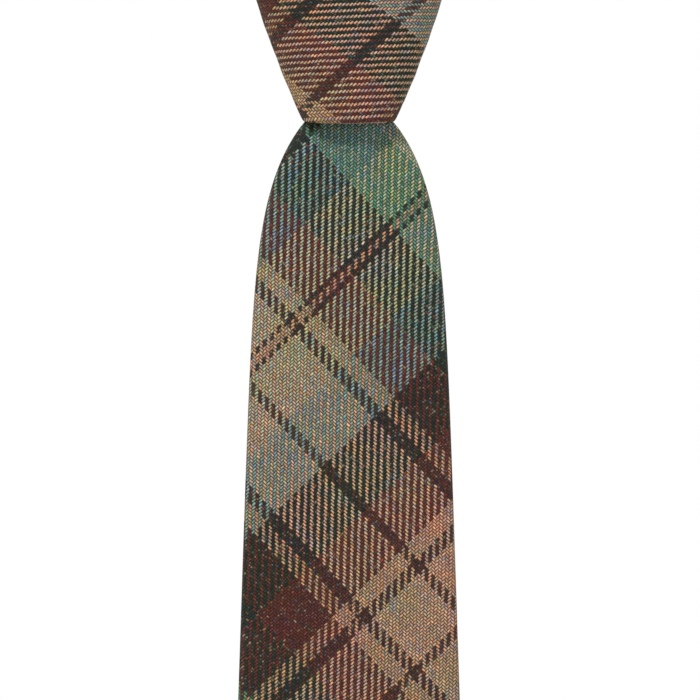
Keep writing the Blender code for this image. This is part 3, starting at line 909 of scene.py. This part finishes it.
def build_keeper(tweed, silk):
    """The keeper: a folded strip of tweed, arched over the tail, its feet sewn down."""
    low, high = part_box("keeper_loop")
    half = high.x
    arch_y = high.y - 0.6 * MM
    foot_y = low.y + 0.6 * MM
    inner = half - 4 * MM
    side = [
        Vector((half, foot_y, 0)), Vector((inner + 1.4 * MM, foot_y, 0)),
        Vector((inner, foot_y + 1.6 * MM, 0)), Vector((inner - 0.6 * MM, arch_y - 0.9 * MM, 0)),
        Vector((inner - 3 * MM, arch_y, 0)), Vector((inner / 2, arch_y + 0.1 * MM, 0)),
    ]
    middle = [Vector((0, arch_y + 0.15 * MM, 0))]
    mirrored = [Vector((-p.x, p.y, 0)) for p in reversed(side)]
    path = smooth_path(side + middle + mirrored, 6)
    centre_z = (low.z + high.z) / 2
    width = high.z - low.z
    rows = []
    run = 0.0
    for i, point in enumerate(path):
        before = path[max(i - 1, 0)]
        after = path[min(i + 1, len(path) - 1)]
        run += (point - before).length
        along = (after - before).normalized()
        outward = Vector((along.y, -along.x, 0))
        row = []
        for a, depth, flat in folded_section(width, 1.3 * MM, SEAM_GAP):
            bow = 0.25 * MM * math.sin(3.1 * a / width) * ripple(run, a, 6, 11 * MM)
            place = point - outward * (depth - 0.65 * MM + bow)
            place.z = centre_z + a
            row.append((place, bias_yarns(flat, run, 12.0, 96.0)))
        rows.append(row)
    keeper = cloth_object("keeper_cloth", rows, tweed, 0.45 * MM)
    declare_sheet(keeper, rows, "folded", "tweed", "keeper_loop")
    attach(keeper, "front_blade")
    runs = []
    for side_sign in (-1, 1):
        for z in steps(low.z + 1.5 * MM, high.z - 1.5 * MM, 7):
            start = Vector((side_sign * (half - 0.6 * MM), foot_y + 0.5 * MM, z))
            end = Vector((side_sign * (half + 1.1 * MM), foot_y - 0.2 * MM, z + 0.7 * MM))
            runs.append(stitch(start, end, Vector((0, 0.4 * MM, 0))))
    sewing = thread_object("keeper_stitches", runs, silk, 0.15 * MM)
    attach(sewing, "front_blade")


def flat_rows(low, high, y, columns, count, wave, seed):
    """Rows of a flat rectangle facing +Y between two corners of the frame."""
    rows = []
    for z in steps(high.z, low.z, count):
        row = []
        for x in steps(low.x, high.x, columns):
            lift = wave * ripple(x, z, seed, 12 * MM)
            row.append((Vector((x, y + lift, z)), plain_yarns(x - low.x, high.z - z, TAPE_YARN)))
        rows.append(row)
    return rows


def build_label(label, silk):
    """The label: one layer of plain damask, stitched down along its two ends."""
    low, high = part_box("woven_label")
    rows = flat_rows(low, high, (low.y + high.y) / 2 + 0.1 * MM, 46, 24, 0.12 * MM, 5)
    cloth = cloth_object("label_cloth_piece", rows, label, 0.35 * MM)
    declare_sheet(cloth, rows, "laid", "label_cloth", "woven_label", pitch=TAPE_YARN)
    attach(cloth, "front_blade")
    runs = []
    y = high.y + 0.1 * MM
    for side_x, inward in ((low.x, 1), (high.x, -1)):
        for i in range(9):
            z = low.z + (i + 0.5) * (high.z - low.z) / 9
            start = Vector((side_x - inward * 0.5 * MM, y - 0.4 * MM, z))
            end = Vector((side_x + inward * 0.9 * MM, y, z + 0.4 * MM))
            runs.append(stitch(start, end, Vector((0, 0.3 * MM, 0))))
    sewing = thread_object("label_stitches", runs, silk, 0.12 * MM)
    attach(sewing, "front_blade")


def build_tag(label, silk):
    """The care tag: one layer of tape, stitched along its top edge."""
    low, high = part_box("care_tag")
    rows = flat_rows(low, high, (low.y + high.y) / 2 + 0.05 * MM, 18, 28, 0.15 * MM, 7)
    cloth = cloth_object("care_tag_tape", rows, label, 0.4 * MM)
    declare_sheet(cloth, rows, "hung", "label_cloth", "care_tag", pitch=TAPE_YARN)
    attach(cloth, "care_tag")
    runs = []
    for x in steps(low.x + 1.2 * MM, high.x - 1.2 * MM, 6):
        start = Vector((x - 0.8 * MM, high.y, high.z - 1.3 * MM))
        end = Vector((x + 0.7 * MM, high.y, high.z - 1.3 * MM))
        runs.append(stitch(start, end, Vector((0, 0.25 * MM, 0)), 5))
    sewing = thread_object("care_tag_stitches", runs, silk, 0.12 * MM)
    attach(sewing, "care_tag")


# ---------------------------------------------------------------- knot


def knot_half_width(height):
    return (KNOT_BOTTOM_WIDTH + KNOT_FLARE * height - KNOT_FLARE_LOSS * height**2) / 2


def knot_point(turn, height, inset):
    """A point round the knot, from the front (turn 0), that far inside its outer surface."""
    power = 2 / KNOT_SQUARENESS
    across = math.copysign(abs(math.sin(turn)) ** power, math.sin(turn))
    forward = math.copysign(abs(math.cos(turn)) ** power, math.cos(turn))
    if forward > 0:
        depth = KNOT_FRONT_DEPTH + KNOT_FRONT_SLOPE * height
    else:
        depth = KNOT_BACK_DEPTH + KNOT_BACK_SLOPE * height
    x = (knot_half_width(height) - inset) * across
    y = KNOT_MID_Y - (depth - inset) * forward
    return Vector((x, y, KNOT_FOOT + height))


def knot_yarns(around, up):
    """Yarn numbers on the knot, where the strip runs across, a quarter turn from the blade."""
    drop = KNOT_TARTAN_LEVEL - up
    rise = around * math.sin(KNOT_RISING) + drop * math.cos(KNOT_RISING)
    fall = drop * math.cos(KNOT_FALLING) - around * math.sin(KNOT_FALLING)
    return fall / KNOT_YARN + KNOT_FALLING_YARN, -(rise / KNOT_YARN + KNOT_RISING_YARN)


def wrap_rows(turns, low, high, thick, sink, seed):
    """Rows of a folded strip laid round the knot. sink(turn) sets it further inside."""
    middle_height = (low + high) / 2
    section = folded_section(high - low, thick, SEAM_GAP, KNOT_CORNER)
    centre = len(turns) // 2
    columns = []
    for a, depth, flat in section:
        height = middle_height + a
        column = []
        for turn in turns:
            sag = 0.6 * MM * math.cos(turn) * (1 - ease((height - low) / (12 * MM)))
            drag = 0.2 * MM * ripple(turn * 10 * MM, height * 2.4, seed, 13 * MM)
            point = knot_point(turn, height, depth + sink(turn) + drag)
            point.z -= max(sag, 0)
            column.append(point)
        runs = [0.0]
        for before, after in zip(column, column[1:]):
            runs.append(runs[-1] + (after - before).length)
        up = middle_height + flat
        columns.append([(p, knot_yarns(run - runs[centre], up)) for p, run in zip(column, runs)])
    return [list(row) for row in zip(*columns)]


def build_knot_bands(tweed):
    def tuck(turn):
        return 1.8 * MM * ease((abs(math.degrees(turn)) - 96) / 24)

    turns = [math.radians(angle) for angle in steps(-124, 124, 110)]
    rows = wrap_rows(turns, -0.3 * MM, KNOT_HEIGHT - 1.2 * MM, 3.2 * MM, tuck, 3)
    front = tweed_strip("knot_front_cloth", rows, tweed, "knot_front_band")
    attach(front, "knot")

    turns = [math.radians(angle) for angle in steps(112, 248, 60)]

    def bulge(turn):
        return -2.2 * MM + 1.6 * MM * math.sin(turn) ** 4

    rows = wrap_rows(turns, 5 * MM, 35 * MM, 3 * MM, bulge, 9)
    back = tweed_strip("knot_back_cloth", rows, tweed, "knot_back_band")
    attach(back, "knot")


def ribbon_rows(path, half_at, thick, side_vector, start_yarns):
    """Rows of a folded strip along a path, with its width along one direction."""
    rows = []
    run = 0.0
    for i, point in enumerate(path):
        before = path[max(i - 1, 0)]
        after = path[min(i + 1, len(path) - 1)]
        run += (point - before).length
        along = (after - before).normalized()
        outward = side_vector.cross(along).normalized()
        half, shift = half_at(point, i / (len(path) - 1))
        row = []
        for a, depth, flat in folded_section(2 * half, thick, SEAM_GAP):
            crease = 0.3 * MM * ripple(a * 2, run * 0.6, 11, 8 * MM)
            place = point + side_vector * (a + shift) - outward * (depth - thick / 2 + crease)
            row.append((place, bias_yarns(flat, run, *start_yarns)))
        rows.append(row)
    return rows


def build_knot_core(tweed):
    """What the front band goes round, besides the tail: the blade and the two side wraps."""
    across = Vector((1, 0, 0))
    profile = [
        (-81.2, -42), (-83.6, -27), (-85.5, -10), (-84.8, 0.0), (-80.5, 3.8), (-75.5, 1.8), (-73.8, -5),
    ]
    path = smooth_path([Vector((0, y * MM, z * MM)) for y, z in profile], 7)

    def inner_half(point, share):
        level = min(max((point.z - KNOT_FOOT) / KNOT_HEIGHT, 0), 1)
        return blend(10.2 * MM, 15 * MM, level), 0.0

    rows = ribbon_rows(path, inner_half, 3 * MM, across, (30.0, 5.0))
    inner = tweed_strip("knot_inner_cloth", rows, tweed, "knot_inner_blade")
    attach(inner, "knot")

    for node, name, side in (
        ("knot_left_loop", "knot_left_cloth", -1),
        ("knot_right_loop", "knot_right_cloth", 1),
    ):
        low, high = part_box(node)
        front_y = low.y + 1.3 * MM
        back_y = high.y - 1.3 * MM
        top_z = high.z - 1.3 * MM
        middle_y = (front_y + back_y) / 2
        radius = (back_y - front_y) / 2
        path = [Vector((0, front_y, z)) for z in steps(low.z, top_z - radius, 10)]
        for turn in steps(0, math.pi, 14)[1:]:
            y = middle_y - radius * math.cos(turn)
            path.append(Vector((0, y, top_z - radius + radius * math.sin(turn))))
        path += [Vector((0, back_y, z)) for z in steps(top_z - radius, -10 * MM, 5)[1:]]

        def loop_half(point, share):
            near = 15.2 * MM
            far = 24.6 * MM + 1.2 * MM * math.sin(math.pi * share)
            lean = 4.5 * MM * ease((low.z + 26 * MM - point.z) / (24 * MM))
            return (far - near) / 2, side * ((far + near) / 2 - lean)

        rows = ribbon_rows(path, loop_half, 2.6 * MM, across, (70.0 + 60 * side, 20.0))
        loop = tweed_strip(name, rows, tweed, node)
        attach(loop, "knot")


# ---------------------------------------------------------------- neck loop


def neck_frame(angle):
    """Middle of the neck band at an angle from the front, with its outward and upward directions."""
    x = NECK_HALF_X * math.sin(angle)
    y = -NECK_HALF_Y * math.cos(angle)
    z = NECK_FRONT_Z + NECK_RISE * (1 - math.cos(angle)) / 2
    level = Vector((x / NECK_HALF_X**2, y / NECK_HALF_Y**2, 0)).normalized()
    outward = level * math.cos(BAND_LEAN) + Vector((0, 0, math.sin(BAND_LEAN)))
    upward = Vector((0, 0, math.cos(BAND_LEAN))) - level * math.sin(BAND_LEAN)
    return Vector((x, y, z)), outward, upward


def band_row(angle, slant, run, start_yarns, seed):
    """One row across the folded neck band. A slant turns an end's seam to the bias."""
    row = []
    for a, depth, flat in folded_section(BAND_WIDTH, BAND_THICK, SEAM_GAP):
        shift = slant * a
        place, outward, upward = neck_frame(angle + shift / NECK_HALF_X)
        wave = 0.3 * MM * ripple(run * 0.6, a * 1.5, seed, 16 * MM)
        point = place + upward * a - outward * (depth - BAND_THICK / 2 + wave)
        row.append((point, bias_yarns(flat, run + shift, *start_yarns)))
    return row


def band_rows(angles, slants, start_yarns, seed):
    rows = []
    run = 0.0
    last = neck_frame(angles[0])[0]
    for angle, slant in zip(angles, slants):
        middle = neck_frame(angle)[0]
        run += (middle - last).length
        last = middle
        rows.append(band_row(angle, slant, run, start_yarns, seed))
    return rows


def strap_rows(side, start_yarns, seed):
    """Rows of one strap: up out of the knot's back, gathered, and round to its gusset seam."""
    start, start_outward, _ = neck_frame(STRAP_START)
    gather = smooth_path([
        Vector((6.8, -71.2, -15)) * MM, Vector((8.2, -71, -6)) * MM,
        Vector((13, -69.8, 2)) * MM, Vector((23, -65.6, 7)) * MM, start,
    ], 10)
    angles = steps(STRAP_START, GUSSET_START - GUSSET_SEAM, 60)[1:]
    rows = []
    run = 0.0
    last = gather[0]
    total = len(gather) - 1
    for i, point in enumerate(gather):
        run += (point - last).length
        last = point
        before = gather[max(i - 1, 0)]
        after = gather[i + 1] if i < total else neck_frame(angles[0])[0]
        along = (after - before).normalized()
        share = i / total
        facing = Vector((0, -1, 0)).lerp(start_outward, ease(share))
        lean = facing.cross(along).normalized()
        outward = along.cross(lean)
        half = blend(6.2 * MM, BAND_WIDTH / 2, ease(share))
        thick = blend(2.3 * MM, BAND_THICK, ease(share))
        row = []
        for a, depth, flat in folded_section(2 * half, thick, SEAM_GAP):
            gathers = 0.5 * MM * (1 - share) * math.cos(a / (1.9 * MM) + 1.5 * seed)
            wave = 0.3 * MM * share * ripple(run * 0.6, a * 1.5, seed, 16 * MM)
            place = point + lean * a - outward * (depth - thick / 2 + wave + gathers)
            row.append((place, bias_yarns(flat, run, *start_yarns)))
        rows.append(row)
    for i, angle in enumerate(angles):
        middle = neck_frame(angle)[0]
        run += (middle - last).length
        last = middle
        slant = ease((i / (len(angles) - 1) - 0.55) / 0.45)
        rows.append(band_row(angle, slant, run, start_yarns, seed))
    if side < 0:
        rows = [[(Vector((-p.x, p.y, p.z)), uv) for p, uv in row] for row in rows]
    return rows


def build_neck_loop(tweed, canvas, silk):
    for name, side, nodes, start_yarns in (
        ("tail_strap_cloth", 1, ("tail_side_strap", "tail_strap_drop"), (20.0, 88.0)),
        ("blade_strap_cloth", -1, ("blade_side_strap", "blade_strap_drop"), (112.0, 31.0)),
    ):
        rows = strap_rows(side, start_yarns, 12 + side)
        strap = tweed_strip(name, rows, tweed, *nodes)
        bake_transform(strap)

    full = 2 * math.pi
    seam_end = GUSSET_START + GUSSET_SEAM
    angles = steps(seam_end, full - seam_end, 90)
    slants = []
    for i in range(len(angles)):
        share = i / (len(angles) - 1)
        slants.append(ease(1 - share / 0.4) - ease((share - 0.6) / 0.4))
    rows = band_rows(angles, slants, (66.0, 140.0), 15)
    gusset = tweed_strip("gusset_cloth", rows, tweed, "neck_gusset")
    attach(gusset, "neck_loop")

    inside = STRAP_START + math.radians(1)
    runs = []
    for angle in steps(inside, full - inside, 44):
        middle, outward, upward = neck_frame(angle)
        beside, _, _ = neck_frame(angle + 1.3 * MM / NECK_HALF_X)
        back = outward * (-BAND_THICK / 2 - 0.05 * MM)
        start = middle + back - upward * 1.0 * MM
        end = beside + back + upward * 1.0 * MM
        runs.append(stitch(start, end, outward * -0.35 * MM))
    seam = thread_object("neck_seam_stitches", runs, silk, 0.16 * MM)
    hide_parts("neck_slip_stitch")
    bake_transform(seam)

    rows = []
    run = 0.0
    last = neck_frame(inside)[0]
    for angle in steps(inside, full - inside, 120):
        middle, _, upward = neck_frame(angle)
        run += (middle - last).length
        last = middle
        across = steps(-NECK_CANVAS / 2, NECK_CANVAS / 2, 8)
        rows.append([(middle + upward * a, plain_yarns(a, run)) for a in across])
    interlining = cloth_object("neck_canvas", rows, canvas, 1.0 * MM)
    declare_sheet(interlining, rows, "laid", "interlining", "neck_interlining")
    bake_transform(interlining)


# ---------------------------------------------------------------- build

build_camera()
build_studio()
build_floor()
tweed = tweed_material()
canvas = canvas_material()
satin = satin_material()
silk = thread_material()
label = label_material()
build_blade(tweed)
build_tail(tweed)
build_blade_linings(canvas, satin)
build_tail_linings(canvas, satin)
build_stitches(silk)
build_keeper(tweed, silk)
build_label(label, silk)
build_tag(label, silk)
build_knot_bands(tweed)
build_knot_core(tweed)
build_neck_loop(tweed, canvas, silk)
